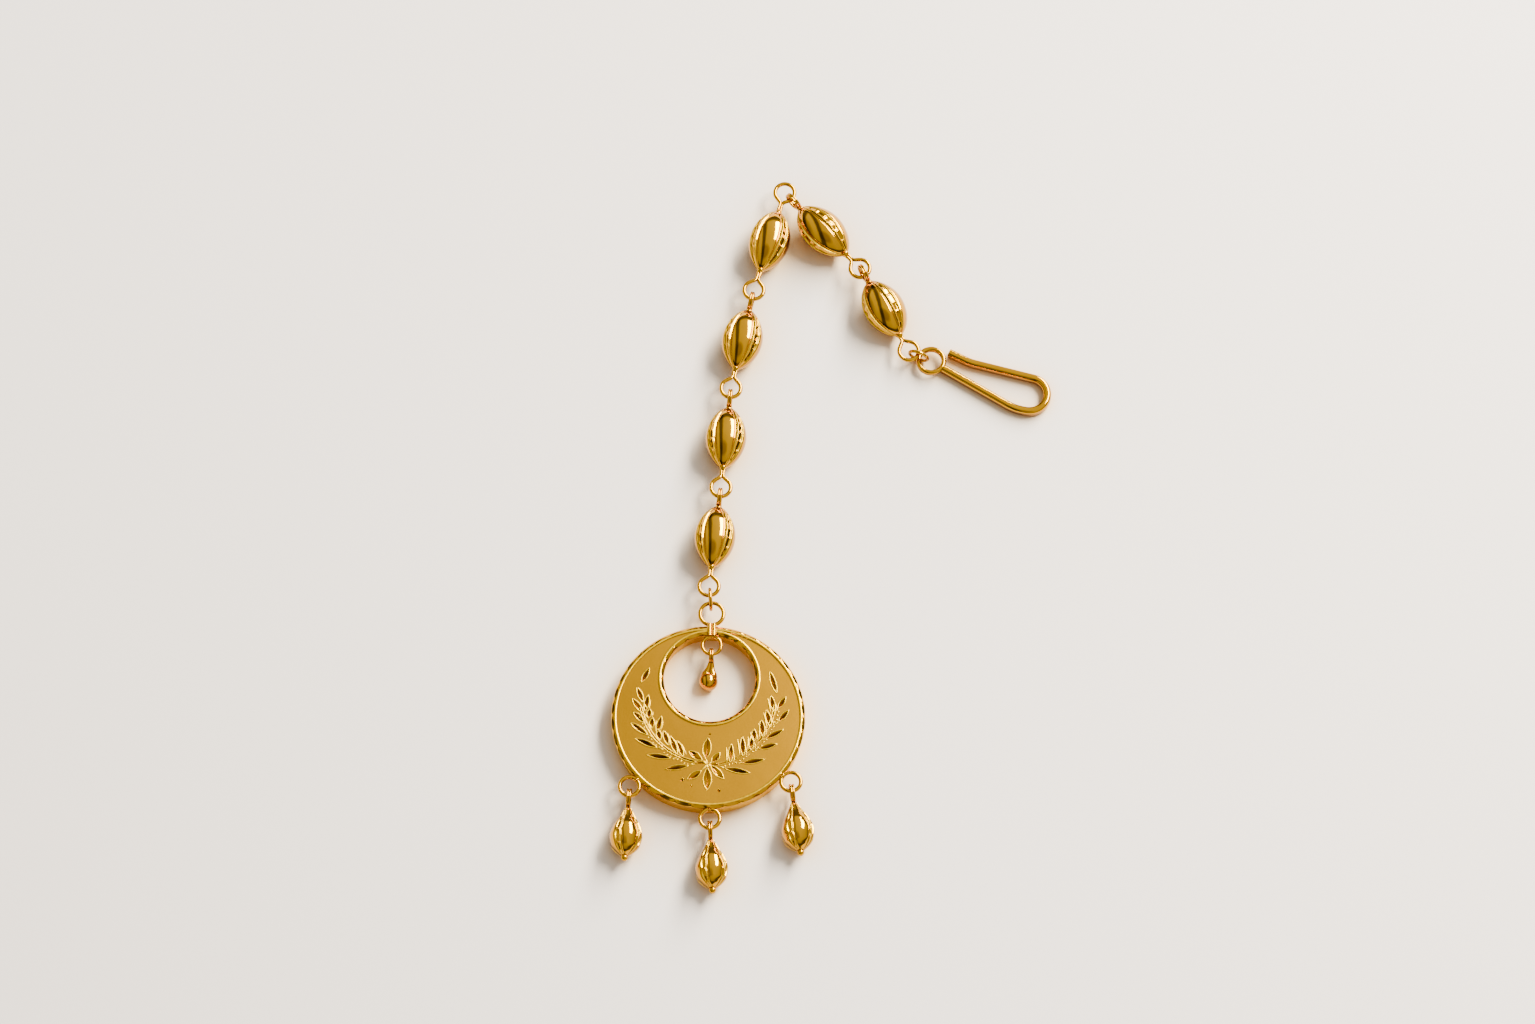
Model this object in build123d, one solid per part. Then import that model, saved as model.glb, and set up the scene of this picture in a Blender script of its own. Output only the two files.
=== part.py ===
from build123d import *
from collections import namedtuple
from math import asin, cos, degrees, radians, sin
import os

# A gold maang tikka laid flat: an engraved crescent pendant with a ball and three lobed
# drops, a chain of six lobed beads, and a hair hook. Millimetres, +Z up, floor at z = 0.
# Everything is laid out from the centre of the pendant, with the chain leading off
# towards +Y, and moved at the end so that the origin is under the middle of the object.

# ---- Pendant ----
PENDANT_RADIUS = 11.5
HOLE_RADIUS = 5.45
HOLE_X = 0.15
HOLE_Y = 4.9
PLATE_TOP = 2.5
PLATE_THICKNESS = 0.35
PLATE_OVERHANG = 0.22
RIM_HEIGHT = 0.1
RIM_LINE_WIDTH = 0.15
BEVEL_WIDTH = 0.45
BEVEL_DROP = 0.34
STRAP_WIRE = 0.27
STRAP_SPACING = 0.5
STRAP_DEPTH = 1.1

# ---- Round wire and its rings ----
RING_RADIUS = 1.17
RING_WIRE = 0.25
LOOP_RADIUS = 1.0
LOOP_WIRE = 0.21
NECK_RADIUS = 0.3
SOLDER_LAP = 0.2
SOLDER_BEAD_RADIUS = 0.32

# ---- Lobed beads and drops ----
RIBS = 4
BEAD_RADIUS = 2.3
BAND_HALF_ANGLE = 8.0
BAND_FOOT_ANGLE = 10.5
BAND_RISE = 1.045
DROP_ROLL = -15.0
BEAD_STATIONS = (-1.0, -0.9, -0.7, -0.4, 0.0, 0.4, 0.7, 0.9, 1.0)
BEAD_FULLNESS = 0.62
BEAD_TIP_RADIUS = 0.38

# ---- Hook ----
HOOK_WIDTH = 0.95
HOOK_HEIGHT = 1.3
HOOK_ROUNDING = 0.4
EYE_RADIUS = 1.52
EYE_WIDTH = 0.58
EYE_HEIGHT = 0.85
EYE_ROUNDING = 0.27
EYE_Z = 1.0

# A station is one cross-section of a lobed body: how far along the body's axis it is,
# and how far it stands out from that axis.
Station = namedtuple("Station", "along radius")

# The drop is a teardrop, from its soldered top to the little ball at its tip.
DROP_STATIONS = (
    Station(0.0, 0.36),
    Station(1.25, 0.98),
    Station(2.4, 1.62),
    Station(3.6, 1.95),
    Station(4.8, 1.7),
    Station(5.5, 1.15),
    Station(6.0, 0.5),
)
DROP_RADIUS = max(station.radius for station in DROP_STATIONS)
DROP_LENGTH = DROP_STATIONS[-1].along
TIP_BALL_RADIUS = 0.45

# The beads of the chain from the pendant to the hook. The heading is the way from the
# pendant's end of the link to the hook's end, in degrees from +X. An end is a ring that
# lies flat, or a loop that stands on edge and passes through the next link's ring. Roll
# turns the bead about its own length, neck is the wire between the bead and its flat
# ring, slack is how far the link has drawn back from its neighbour's ring, and dip how
# much it tips down towards the hook's end.
Link = namedtuple("Link", "name heading roll bead_length neck slack dip first_end last_end")
LINKS = (
    Link("link_4", 83.7, -6.0, 7.9, 1.15, 0.05, 0.0, "ring", "loop"),
    Link("link_3", 84.7, -6.0, 7.9, 1.2, 0.1, 0.0, "ring", "loop"),
    Link("link_2", 77.8, -6.0, 7.9, 1.25, 0.25, 0.0, "ring", "loop"),
    Link("link_1", 73.7, -6.0, 8.1, 1.37, 0.0, 0.0, "ring", "ring"),
    Link("link_5", -47.5, 19.0, 8.3, 1.2, 0.3, 0.0, "loop", "ring"),
    Link("link_6", -61.0, 17.0, 7.9, 0.9, -0.35, 4.0, "loop", "ring"),
)

# A leaf is one bright cut beside a curved stem: how far along the stem its root is, how
# far outside the stem's arc the root is, how much the leaf leans outwards from the
# stem's direction, and how long it is.
Leaf = namedtuple("Leaf", "along offset lean length")
LEFT_LEAVES = (
    Leaf(0.10, 0.65, 25, 2.7),
    Leaf(0.31, 0.6, 23, 2.8),
    Leaf(0.50, 0.55, 21, 2.8),
    Leaf(0.68, 0.4, 21, 2.5),
    Leaf(0.81, -0.1, 24, 2.1),
    Leaf(0.94, -0.2, 21, 2.3),
    Leaf(1.08, -0.4, 17, 2.0),
    Leaf(1.33, 0.0, -14, 2.0),
    Leaf(0.19, -0.3, -46, 2.1),
    Leaf(0.27, -0.25, -41, 2.4),
    Leaf(0.42, -0.6, -32, 1.9),
    Leaf(0.54, -0.4, -27, 1.4),
    Leaf(0.64, -0.6, -50, 2.2),
    Leaf(0.72, -0.35, -35, 1.4),
    Leaf(0.86, -0.6, -26, 1.2),
    Leaf(0.96, -0.45, -23, 2.1),
)
RIGHT_LEAVES = (
    Leaf(0.06, 0.6, 28, 3.0),
    Leaf(0.25, 0.8, 20, 2.6),
    Leaf(0.48, 0.55, 30, 2.2),
    Leaf(0.62, 0.4, 27, 2.3),
    Leaf(0.85, 0.8, 21, 1.8),
    Leaf(0.99, 0.35, 23, 1.7),
    Leaf(1.17, 0.1, -13, 2.8),
    Leaf(0.14, 0.1, -66, 2.3),
    Leaf(0.30, 0.1, -60, 2.4),
    Leaf(0.41, 0.1, -48, 1.9),
    Leaf(0.51, -0.5, -42, 1.5),
    Leaf(0.62, 0.0, -41, 2.1),
    Leaf(0.76, 0.15, -38, 2.2),
    Leaf(0.95, -0.05, -23, 2.0),
)

# A spray is a stem along an arc, cut in a few strokes, with leaves beside it.
Spray = namedtuple("Spray", "centre_x centre_y radius start_angle sweep leaves")
SPRAYS = (
    Spray(0.25, 2.45, 8.4, -100.0, -70.0, LEFT_LEAVES),
    Spray(-0.6, 2.4, 8.65, -78.0, 70.0, RIGHT_LEAVES),
)
STEM_STROKES = 4

# The flower's petals and the small cuts round it, by their middle, direction and length.
Petal = namedtuple("Petal", "x y heading length width")
FLOWER = (
    Petal(-0.15, -4.0, 85, 2.6, 0.9),
    Petal(-0.1, -7.85, 90, 2.7, 0.9),
    Petal(-1.5, -4.9, 143, 1.9, 0.7),
    Petal(-1.65, -7.35, 32, 1.9, 0.7),
    Petal(0.9, -5.15, 51, 1.5, 0.7),
    Petal(1.1, -7.0, 132, 2.2, 0.7),
    Petal(-0.95, -5.8, 175, 1.3, 0.3),
    Petal(0.75, -6.0, 5, 1.0, 0.3),
    Petal(0.2, -2.2, 60, 0.3, 0.3),
    Petal(-3.05, -7.95, 10, 0.6, 0.4),
    Petal(-2.0, -8.7, 30, 0.3, 0.3),
    Petal(1.3, -9.3, 0, 0.4, 0.4),
)
CUT_SLOPE = 1.7
LEAF_WIDTH = 0.52
STEM_WIDTH = 0.22
STEM_INSET = 0.08
STROKE_OVERLAP = 1.15
WHEEL_MARGIN = 0.1

# ---- Where the pieces lie ----
TOP_RING_X = 0.4
TOP_RING_Y = 13.12
TOP_RING_RADIUS = 1.4
INNER_RING_Y = 9.12
INNER_RING_RADIUS = 1.12
HIGH_RING_Z = 2.2
BALL_X = 0.0
BALL_RADIUS = 1.13
BALL_Y = 4.9
BALL_LOOP_X = 0.35
BALL_LOOP_Y = 7.85
BALL_LOOP_Z = 2.1
BALL_LOOP_RADIUS = 0.75
CAP_BASE_RADIUS = 0.62
CAP_TIP_RADIUS = 0.17
CAP_SEAT = 0.75
FIRST_LINK_X = 0.06
FIRST_LINK_Y = 16.6
JUMP_RING_RADIUS = 1.22
JUMP_RING_HEADING = 94.0
SMALL_RING_RADIUS = 1.15
EYE_X = 26.75
EYE_Y = 46.1

# Round solids that start at z = 0 and rise from there.
UPWARDS = (Align.CENTER, Align.CENTER, Align.MIN)

# A drop hangs from a loop soldered to the rim at a bearing from the pendant's centre.
Drop = namedtuple("Drop", "name bearing heading")
DROPS = (
    Drop("drop_left", -137.0, -93.6),
    Drop("drop_bottom", -89.0, -87.9),
    Drop("drop_right", -39.5, -82.6),
)
DROP_LOOP_DISTANCE = 12.72
DROP_REACH = 1.38

# The hook's wire, from its eye round to its tip: straight runs have no radius, and an
# arc turns left by its angle, or right where the angle is negative.
Run = namedtuple("Run", "length radius turn")
HOOK_HEADING = -31.5
HOOK_RUNS = (
    Run(9.0, 0.0, 0.0),
    Run(0.0, 6.5, 24.0),
    Run(0.0, 2.15, 172.5),
    Run(7.4, 0.0, 0.0),
    Run(0.0, 5.0, -12.0),
    Run(2.3, 0.0, 0.0),
)


def polar(radius, angle):
    return (radius * cos(radians(angle)), radius * sin(radians(angle)))


def flat_ring(radius, wire):
    return Torus(radius, wire)


def standing_ring(radius, wire):
    """A ring on edge, in the plane of its own X axis and +Z."""
    return Rot(90, 0, 0) * Torus(radius, wire)


# ---- Engraving ----
def wheel_cut(x, y, heading, length, width):
    """The V-edged wheel that leaves one boat-shaped cut in the top of the plate."""
    depth = width / 2 / CUT_SLOPE
    wheel_radius = length * length / 8 / depth + depth / 2
    half_thickness = width / 2 + WHEEL_MARGIN
    side_radius = wheel_radius - half_thickness / CUT_SLOPE
    edge = Cone(wheel_radius, side_radius, half_thickness, align=UPWARDS)
    wheel = edge + Rot(180, 0, 0) * edge
    return Pos(x, y, PLATE_TOP - depth + wheel_radius) * Rot(0, 0, heading) * Rot(90, 0, 0) * wheel


def spray_cuts(spray):
    turn = 1 if spray.sweep > 0 else -1
    cuts = []
    stroke = spray.sweep / STEM_STROKES
    stroke_length = STROKE_OVERLAP * spray.radius * radians(abs(stroke))
    for index in range(STEM_STROKES):
        angle = spray.start_angle + (index + 0.5) * stroke
        stem_x, stem_y = polar(spray.radius - STEM_INSET, angle)
        x = spray.centre_x + stem_x
        y = spray.centre_y + stem_y
        cuts.append(wheel_cut(x, y, angle + 90, stroke_length, STEM_WIDTH))
    for leaf in spray.leaves:
        angle = spray.start_angle + leaf.along * spray.sweep
        root_x, root_y = polar(spray.radius + leaf.offset, angle)
        heading = angle + turn * (90 - leaf.lean)
        reach_x, reach_y = polar(leaf.length / 2, heading)
        x = spray.centre_x + root_x + reach_x
        y = spray.centre_y + root_y + reach_y
        cuts.append(wheel_cut(x, y, heading, leaf.length, LEAF_WIDTH))
    return cuts


def engraving():
    cuts = []
    for spray in SPRAYS:
        cuts += spray_cuts(spray)
    for petal in FLOWER:
        cuts.append(wheel_cut(petal.x, petal.y, petal.heading, petal.length, petal.width))
    return cuts


# ---- Pendant ----
def crescent(outer_radius, hole_radius, thickness):
    outer = Circle(outer_radius)
    hole = Pos(HOLE_X, HOLE_Y) * Circle(hole_radius)
    return extrude(outer - hole, thickness)


def rim(edge_radius, inwards):
    """An edge with a wide bright-cut bevel and a thin raised line beside it."""
    base = PLATE_TOP - PLATE_THICKNESS
    top = PLATE_TOP + RIM_HEIGHT
    line_edge = edge_radius + inwards * BEVEL_WIDTH
    plate_edge = line_edge + inwards * RIM_LINE_WIDTH
    corners = (
        (edge_radius, base),
        (edge_radius, top - BEVEL_DROP),
        (line_edge, top),
        (plate_edge, top),
        (plate_edge, base),
    )
    profile = make_face(Plane.XZ * Polyline(*corners, close=True))
    return revolve(profile, Axis.Z)


def strap():
    """The two turns of wire that bind the upper and the inner ring to the narrow top."""
    first_y = INNER_RING_Y + INNER_RING_RADIUS
    last_y = TOP_RING_Y - TOP_RING_RADIUS
    length = last_y - first_y
    height = PLATE_TOP + RIM_HEIGHT
    turn = Rot(-90, 0, 0) * Cylinder(STRAP_WIRE, length, align=UPWARDS)
    bed = Box(STRAP_SPACING, length, STRAP_DEPTH, align=(Align.CENTER, Align.MIN, Align.MAX))
    left = Pos(TOP_RING_X - STRAP_SPACING / 2, first_y, height) * turn
    right = Pos(TOP_RING_X + STRAP_SPACING / 2, first_y, height) * turn
    return left + right + Pos(TOP_RING_X, first_y, height) * bed


def make_pendant():
    wall_height = PLATE_TOP - PLATE_THICKNESS
    wall = crescent(PENDANT_RADIUS - PLATE_OVERHANG, HOLE_RADIUS + PLATE_OVERHANG, wall_height)
    plate = crescent(PENDANT_RADIUS - BEVEL_WIDTH, HOLE_RADIUS + BEVEL_WIDTH, PLATE_THICKNESS)
    box = wall + Pos(0, 0, wall_height) * plate
    pendant = box - engraving()
    pendant += rim(PENDANT_RADIUS, -1)
    pendant += Pos(HOLE_X, HOLE_Y) * rim(HOLE_RADIUS, 1)
    pendant += strap()
    pendant += Pos(TOP_RING_X, TOP_RING_Y, HIGH_RING_Z) * flat_ring(TOP_RING_RADIUS, RING_WIRE)
    pendant += Pos(TOP_RING_X, INNER_RING_Y, HIGH_RING_Z) * flat_ring(INNER_RING_RADIUS, LOOP_WIRE)
    for drop in DROPS:
        x, y = polar(DROP_LOOP_DISTANCE, drop.bearing)
        pendant += Pos(x, y, HIGH_RING_Z) * flat_ring(RING_RADIUS, RING_WIRE)
        x, y = polar(PENDANT_RADIUS, drop.bearing)
        pendant += Pos(x, y, HIGH_RING_Z) * Sphere(SOLDER_BEAD_RADIUS)
    return pendant


def make_ball_drop():
    """A ball with a conical cap, and a small loop that passes through the inner ring."""
    ball_centre = Vector(BALL_X, BALL_Y, BALL_RADIUS)
    loop_centre = Vector(BALL_LOOP_X, BALL_LOOP_Y, BALL_LOOP_Z)
    slope = Vector(0, BALL_LOOP_Y - BALL_Y, BALL_LOOP_Z - BALL_RADIUS).normalized()
    cap_top = loop_centre - slope * BALL_LOOP_RADIUS
    upwards = (cap_top - ball_centre).normalized()
    cap_bottom = ball_centre + upwards * (CAP_SEAT * BALL_RADIUS)
    cap_length = (cap_top - cap_bottom).length
    cap = Cone(CAP_BASE_RADIUS, CAP_TIP_RADIUS, cap_length, align=UPWARDS)
    loop = Rot(0, 0, 90) * standing_ring(BALL_LOOP_RADIUS, LOOP_WIRE)
    ball = Pos(BALL_X, BALL_Y, BALL_RADIUS) * Sphere(BALL_RADIUS)
    return ball + Plane(origin=cap_bottom, z_dir=upwards) * cap + Pos(loop_centre) * loop


# ---- Lobed bodies, each along its own +X axis ----
def lobed_face(station):
    """The section: four round lobes with a raised flat band between each two."""
    step = 360 / RIBS
    raised = station.radius * BAND_RISE
    edges = []
    for index in range(RIBS):
        middle = (index + 0.5) * step
        first_foot = polar(station.radius, middle - BAND_FOOT_ANGLE)
        band_start = polar(raised, middle - BAND_HALF_ANGLE)
        band_end = polar(raised, middle + BAND_HALF_ANGLE)
        last_foot = polar(station.radius, middle + BAND_FOOT_ANGLE)
        lobe_top = polar(station.radius, middle + step / 2)
        next_foot = polar(station.radius, middle + step - BAND_FOOT_ANGLE)
        edges.append(Line(first_foot, band_start))
        edges.append(Line(band_start, band_end))
        edges.append(Line(band_end, last_foot))
        edges.append(ThreePointArc(last_foot, lobe_top, next_foot))
    plane = Plane(origin=(station.along, 0, 0), x_dir=(0, 0, 1), z_dir=(-1, 0, 0))
    return plane * make_face(Curve() + edges)


def lobed_body(stations):
    return loft([lobed_face(station) for station in stations])


def bead_stations(length):
    stations = []
    for part in BEAD_STATIONS:
        bulge = BEAD_RADIUS * (1 - part * part) ** BEAD_FULLNESS
        stations.append(Station(part * length / 2, max(bulge, BEAD_TIP_RADIUS)))
    return stations


def neck(start, end):
    cylinder = Cylinder(NECK_RADIUS, end - start, align=UPWARDS)
    return Pos(start, 0, 0) * Rot(0, 90, 0) * cylinder


def end_reach(kind, neck_length):
    """From the tip of a bead to the centre of the ring or loop at that end."""
    if kind == "ring":
        return neck_length + RING_RADIUS + RING_WIRE - SOLDER_LAP
    return LOOP_RADIUS + LOOP_WIRE


def link_end(kind, tip, neck_length):
    """The wire end beyond a bead's tip, made along +X and mirrored for the other end."""
    centre = tip + end_reach(kind, neck_length)
    if kind == "ring":
        stem = neck(tip - SOLDER_LAP, tip + neck_length)
        return stem + Pos(centre, 0, 0) * flat_ring(RING_RADIUS, RING_WIRE)
    stem = neck(tip - SOLDER_LAP, tip + LOOP_WIRE)
    return stem + Pos(centre, 0, 0) * standing_ring(LOOP_RADIUS, LOOP_WIRE)


def make_link(link):
    tip = link.bead_length / 2
    bead = Rot(link.roll, 0, 0) * lobed_body(bead_stations(link.bead_length))
    last = link_end(link.last_end, tip, link.neck)
    first = Rot(0, 0, 180) * link_end(link.first_end, tip, link.neck)
    return bead + last + first


def make_drop_body():
    """A drop with its loop's centre at the origin, hanging towards +X."""
    top = LOOP_RADIUS + LOOP_WIRE
    body = Pos(top, 0, 0) * Rot(DROP_ROLL, 0, 0) * lobed_body(DROP_STATIONS)
    ball = Pos(top + DROP_LENGTH + TIP_BALL_RADIUS / 2, 0, 0) * Sphere(TIP_BALL_RADIUS)
    stem = neck(LOOP_RADIUS, top + SOLDER_LAP)
    return body + ball + stem + standing_ring(LOOP_RADIUS, LOOP_WIRE)


# ---- Laying the chain out ----
def joint_distance(kind, link):
    """From a bead's tip to the centre of the joint's flat ring at that end."""
    if kind == "ring":
        return end_reach(kind, link.neck)
    return 2 * (LOOP_RADIUS + LOOP_WIRE) + link.slack


def lay_chain():
    """Walk from the ring nearest the pendant to the one nearest the hook."""
    x = FIRST_LINK_X
    y = FIRST_LINK_Y
    nodes = {}
    for link in LINKS:
        before = joint_distance(link.first_end, link) + link.bead_length / 2
        after = link.bead_length / 2 + joint_distance(link.last_end, link)
        ahead_x, ahead_y = polar(1, link.heading)
        place = Pos(x + before * ahead_x, y + before * ahead_y, BEAD_RADIUS)
        slant = Rot(0, 0, link.heading) * Rot(0, link.dip, 0)
        nodes[link.name] = place * slant * make_link(link)
        x += (before + after) * ahead_x
        y += (before + after) * ahead_y
    return nodes, (x, y)


def lay_drops():
    drop_body = make_drop_body()
    nodes = {}
    for drop in DROPS:
        ring_x, ring_y = polar(DROP_LOOP_DISTANCE, drop.bearing)
        ahead_x, ahead_y = polar(DROP_REACH, drop.heading)
        place = Pos(ring_x + ahead_x, ring_y + ahead_y, DROP_RADIUS) * Rot(0, 0, drop.heading)
        nodes[drop.name] = place * drop_body
    return nodes


# ---- Hook ----
def wire_run(run, start, heading):
    """One stretch of the hook's flattened wire, and where it ends."""
    ahead = Vector(*polar(1, heading))
    left = Vector(*polar(1, heading + 90))
    outline = RectangleRounded(HOOK_WIDTH, HOOK_HEIGHT, HOOK_ROUNDING)
    section = Plane(origin=start, x_dir=left, z_dir=ahead) * outline
    if not run.radius:
        return extrude(section, run.length, dir=ahead), start + ahead * run.length
    side = 1 if run.turn > 0 else -1
    centre = start + left * (side * run.radius)
    bend = revolve(section, Axis(centre, (0, 0, side)), abs(run.turn))
    spoke_x, spoke_y = polar(run.radius, heading + run.turn - side * 90)
    return bend, centre + Vector(spoke_x, spoke_y)


def make_hook():
    start_x, start_y = polar(EYE_RADIUS, HOOK_HEADING)
    point = Vector(EYE_X + start_x, EYE_Y + start_y, HOOK_HEIGHT / 2)
    heading = HOOK_HEADING
    hook = None
    for run in HOOK_RUNS:
        stretch, point = wire_run(run, point, heading)
        hook = stretch if hook is None else hook + stretch
        heading += run.turn
    eye_outline = Pos(EYE_RADIUS, 0) * RectangleRounded(EYE_WIDTH, EYE_HEIGHT, EYE_ROUNDING)
    return hook + Pos(EYE_X, EYE_Y, EYE_Z) * revolve(Plane.XZ * eye_outline, Axis.Z)


# ---- Loose rings ----
def make_pendant_jump_ring():
    """Stands on edge between the pendant's upper ring and the first link's ring."""
    first_y = TOP_RING_Y + TOP_RING_RADIUS
    last_y = FIRST_LINK_Y - RING_RADIUS
    x = (TOP_RING_X + FIRST_LINK_X) / 2
    place = Pos(x, (first_y + last_y) / 2, HIGH_RING_Z) * Rot(0, 0, JUMP_RING_HEADING)
    return place * standing_ring(JUMP_RING_RADIUS, LOOP_WIRE)


def make_hook_jump_ring(ring_x, ring_y):
    """Stands on edge between the last link's ring and the eye of the hook."""
    across = Vector(EYE_X - ring_x, EYE_Y - ring_y)
    unit = across.normalized()
    ring_side = Vector(ring_x, ring_y) + unit * RING_RADIUS
    eye_side = Vector(EYE_X, EYE_Y) - unit * EYE_RADIUS
    middle = (ring_side + eye_side) * 0.5
    heading = degrees(asin(unit.Y))
    place = Pos(middle.X, middle.Y, SMALL_RING_RADIUS + LOOP_WIRE) * Rot(0, 0, heading)
    return place * standing_ring(SMALL_RING_RADIUS, LOOP_WIRE)


def make_nodes():
    nodes = {"pendant": make_pendant(), "ball_drop": make_ball_drop()}
    nodes.update(lay_drops())
    links, last_ring = lay_chain()
    nodes.update(links)
    nodes["jump_ring_pendant"] = make_pendant_jump_ring()
    nodes["jump_ring_hook"] = make_hook_jump_ring(*last_ring)
    nodes["hook"] = make_hook()
    return nodes


def main():
    nodes = make_nodes()
    box = nodes["pendant"].bounding_box()
    for shape in nodes.values():
        box = box.add(shape.bounding_box())
    middle = box.center()
    shift = Pos(-middle.X, -middle.Y, -box.min.Z)
    os.makedirs("parts", exist_ok=True)
    for name, shape in nodes.items():
        export_step(shift * shape, f"parts/{name}.step")
    print("size", box.size, "shift", shift.position)


main()
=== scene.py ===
import math
import random
from collections import namedtuple

import bpy
import numpy as np
from mathutils import Matrix, Vector


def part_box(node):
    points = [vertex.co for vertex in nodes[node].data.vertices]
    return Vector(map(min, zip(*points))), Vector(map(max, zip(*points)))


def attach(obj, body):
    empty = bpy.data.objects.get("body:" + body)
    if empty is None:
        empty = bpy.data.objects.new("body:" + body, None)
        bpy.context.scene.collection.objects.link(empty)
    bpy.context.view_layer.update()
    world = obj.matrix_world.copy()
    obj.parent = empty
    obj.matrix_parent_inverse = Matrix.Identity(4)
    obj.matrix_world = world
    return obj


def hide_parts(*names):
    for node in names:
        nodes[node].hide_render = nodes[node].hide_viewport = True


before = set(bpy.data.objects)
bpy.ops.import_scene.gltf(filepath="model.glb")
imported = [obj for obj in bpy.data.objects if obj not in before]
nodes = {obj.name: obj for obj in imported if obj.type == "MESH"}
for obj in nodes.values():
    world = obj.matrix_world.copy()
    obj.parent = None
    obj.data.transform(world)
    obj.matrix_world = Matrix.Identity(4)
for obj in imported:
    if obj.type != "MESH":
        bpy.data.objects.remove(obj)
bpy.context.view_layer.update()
MM = 0.001

# Sizes in millimetres, the same as in the solids. Places are measured from the middle
# of the pendant.
PENDANT_RADIUS = 11.5
HOLE_RADIUS = 5.45
HOLE_X = 0.15
HOLE_Y = 4.9
PLATE_TOP = 2.5
PLATE_OVERHANG = 0.22
RIM_HEIGHT = 0.1
RIM_LINE_WIDTH = 0.15
BEVEL_WIDTH = 0.45
BEVEL_DROP = 0.34
RING_RADIUS = 1.17
RING_WIRE = 0.25
LOOP_RADIUS = 1.0
LOOP_WIRE = 0.21
SOLDER_LAP = 0.2
BEAD_RADIUS = 2.3
BEAD_TIP_RADIUS = 0.38
DROP_ROLL = -15.0
DROP_LOOP_DISTANCE = 12.72
DROP_REACH = 1.38
TIP_BALL_RADIUS = 0.45
BALL = (0.0, 4.9, 1.13)
BALL_RADIUS = 1.13
BALL_LOOP = (0.35, 7.85, 2.1)
BALL_LOOP_RADIUS = 0.75
FIRST_LINK_X = 0.06
FIRST_LINK_Y = 16.6

# The beads from the pendant to the hook. The heading is the way from the pendant's end
# to the hook's end. An end is a ring that lies flat, or a loop that stands on edge and
# passes through the next link's ring. Roll turns the bead about its own length, neck is
# the wire between bead and ring, slack is how far the link has drawn back from its
# neighbour's ring, and dip how much it tips down. Angles are in degrees.
Link = namedtuple("Link", "name heading roll bead_length neck slack dip first_end last_end")
LINKS = (
    Link("link_4", 83.7, -6.0, 7.9, 1.15, 0.05, 0.0, "ring", "loop"),
    Link("link_3", 84.7, -6.0, 7.9, 1.2, 0.1, 0.0, "ring", "loop"),
    Link("link_2", 77.8, -6.0, 7.9, 1.25, 0.25, 0.0, "ring", "loop"),
    Link("link_1", 73.7, -6.0, 8.1, 1.37, 0.0, 0.0, "ring", "ring"),
    Link("link_5", -47.5, 19.0, 8.3, 1.2, 0.3, 0.0, "loop", "ring"),
    Link("link_6", -61.0, 17.0, 7.9, 0.9, -0.35, 4.0, "loop", "ring"),
)

# A drop hangs from a loop on the rim, at a bearing from the pendant's middle.
Drop = namedtuple("Drop", "name bearing heading")
BOTTOM_DROP = Drop("drop_bottom", -89.0, -87.9)
DROPS = (
    Drop("drop_left", -137.0, -93.6),
    BOTTOM_DROP,
    Drop("drop_right", -39.5, -82.6),
)

# A station is one cross-section of a drop: how far along it is, and how far it stands out.
Station = namedtuple("Station", "along radius")
DROP_STATIONS = (
    Station(0.0, 0.36),
    Station(1.25, 0.98),
    Station(2.4, 1.62),
    Station(3.6, 1.95),
    Station(4.8, 1.7),
    Station(5.5, 1.15),
    Station(6.0, 0.5),
)
DROP_RADIUS = max(station.radius for station in DROP_STATIONS)
DROP_LENGTH = DROP_STATIONS[-1].along

# The pendant's box gives its middle: the bottom loop is its lowest point in the picture.
pendant_low, pendant_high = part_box("pendant")
BOTTOM_LOOP_DISTANCE = DROP_LOOP_DISTANCE * math.sin(math.radians(-BOTTOM_DROP.bearing))
CENTRE_X = (pendant_low.x + pendant_high.x) / 2 / MM
CENTRE_Y = pendant_low.y / MM + (BOTTOM_LOOP_DISTANCE + RING_RADIUS + RING_WIRE)
LIFT = pendant_low.z / MM


def place(x, y, z):
    """A place given from the middle of the pendant, as a matrix in millimetres."""
    return Matrix.Translation((x + CENTRE_X, y + CENTRE_Y, z + LIFT))


def turn(angle, axis):
    return Matrix.Rotation(math.radians(angle), 4, axis)


def polar(radius, angle):
    return radius * math.cos(math.radians(angle)), radius * math.sin(math.radians(angle))


def ahead_and_left(heading):
    """Unit vectors along a heading on the floor and square to it."""
    ahead = Vector((*polar(1, heading), 0))
    return ahead, Vector((-ahead.y, ahead.x, 0))


def sky_direction(azimuth, elevation):
    """A unit vector upwards from the floor; azimuth is counted from +X towards +Y."""
    a = math.radians(azimuth)
    e = math.radians(elevation)
    return Vector((math.cos(a) * math.cos(e), math.sin(a) * math.cos(e), math.sin(e)))


# ---- Camera: first, so that every render shows the same view ----
CAMERA_ELEVATION = 68.9
CAMERA_DISTANCE = 1200.0
LENS = 234.8
TARGET_X = 7.04
TARGET_Y = 27.0


def make_camera():
    data = bpy.data.cameras.new("camera")
    camera = bpy.data.objects.new("camera", data)
    bpy.context.scene.collection.objects.link(camera)
    elevation = math.radians(CAMERA_ELEVATION)
    back = Vector((0, -math.cos(elevation), math.sin(elevation)))
    target = Vector((TARGET_X + CENTRE_X, TARGET_Y + CENTRE_Y, 0))
    camera.location = (target + back * CAMERA_DISTANCE) * MM
    camera.rotation_euler = (math.pi / 2 - elevation, 0, 0)
    data.lens = LENS
    data.sensor_width = 36
    data.clip_start = 0.05
    data.clip_end = 20
    bpy.context.scene.camera = camera


make_camera()


# ---- Nodes ----
def new_material(name):
    material = bpy.data.materials.new(name)
    material.use_nodes = True
    tree = material.node_tree
    return material, tree, tree.nodes["Principled BSDF"]


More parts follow.
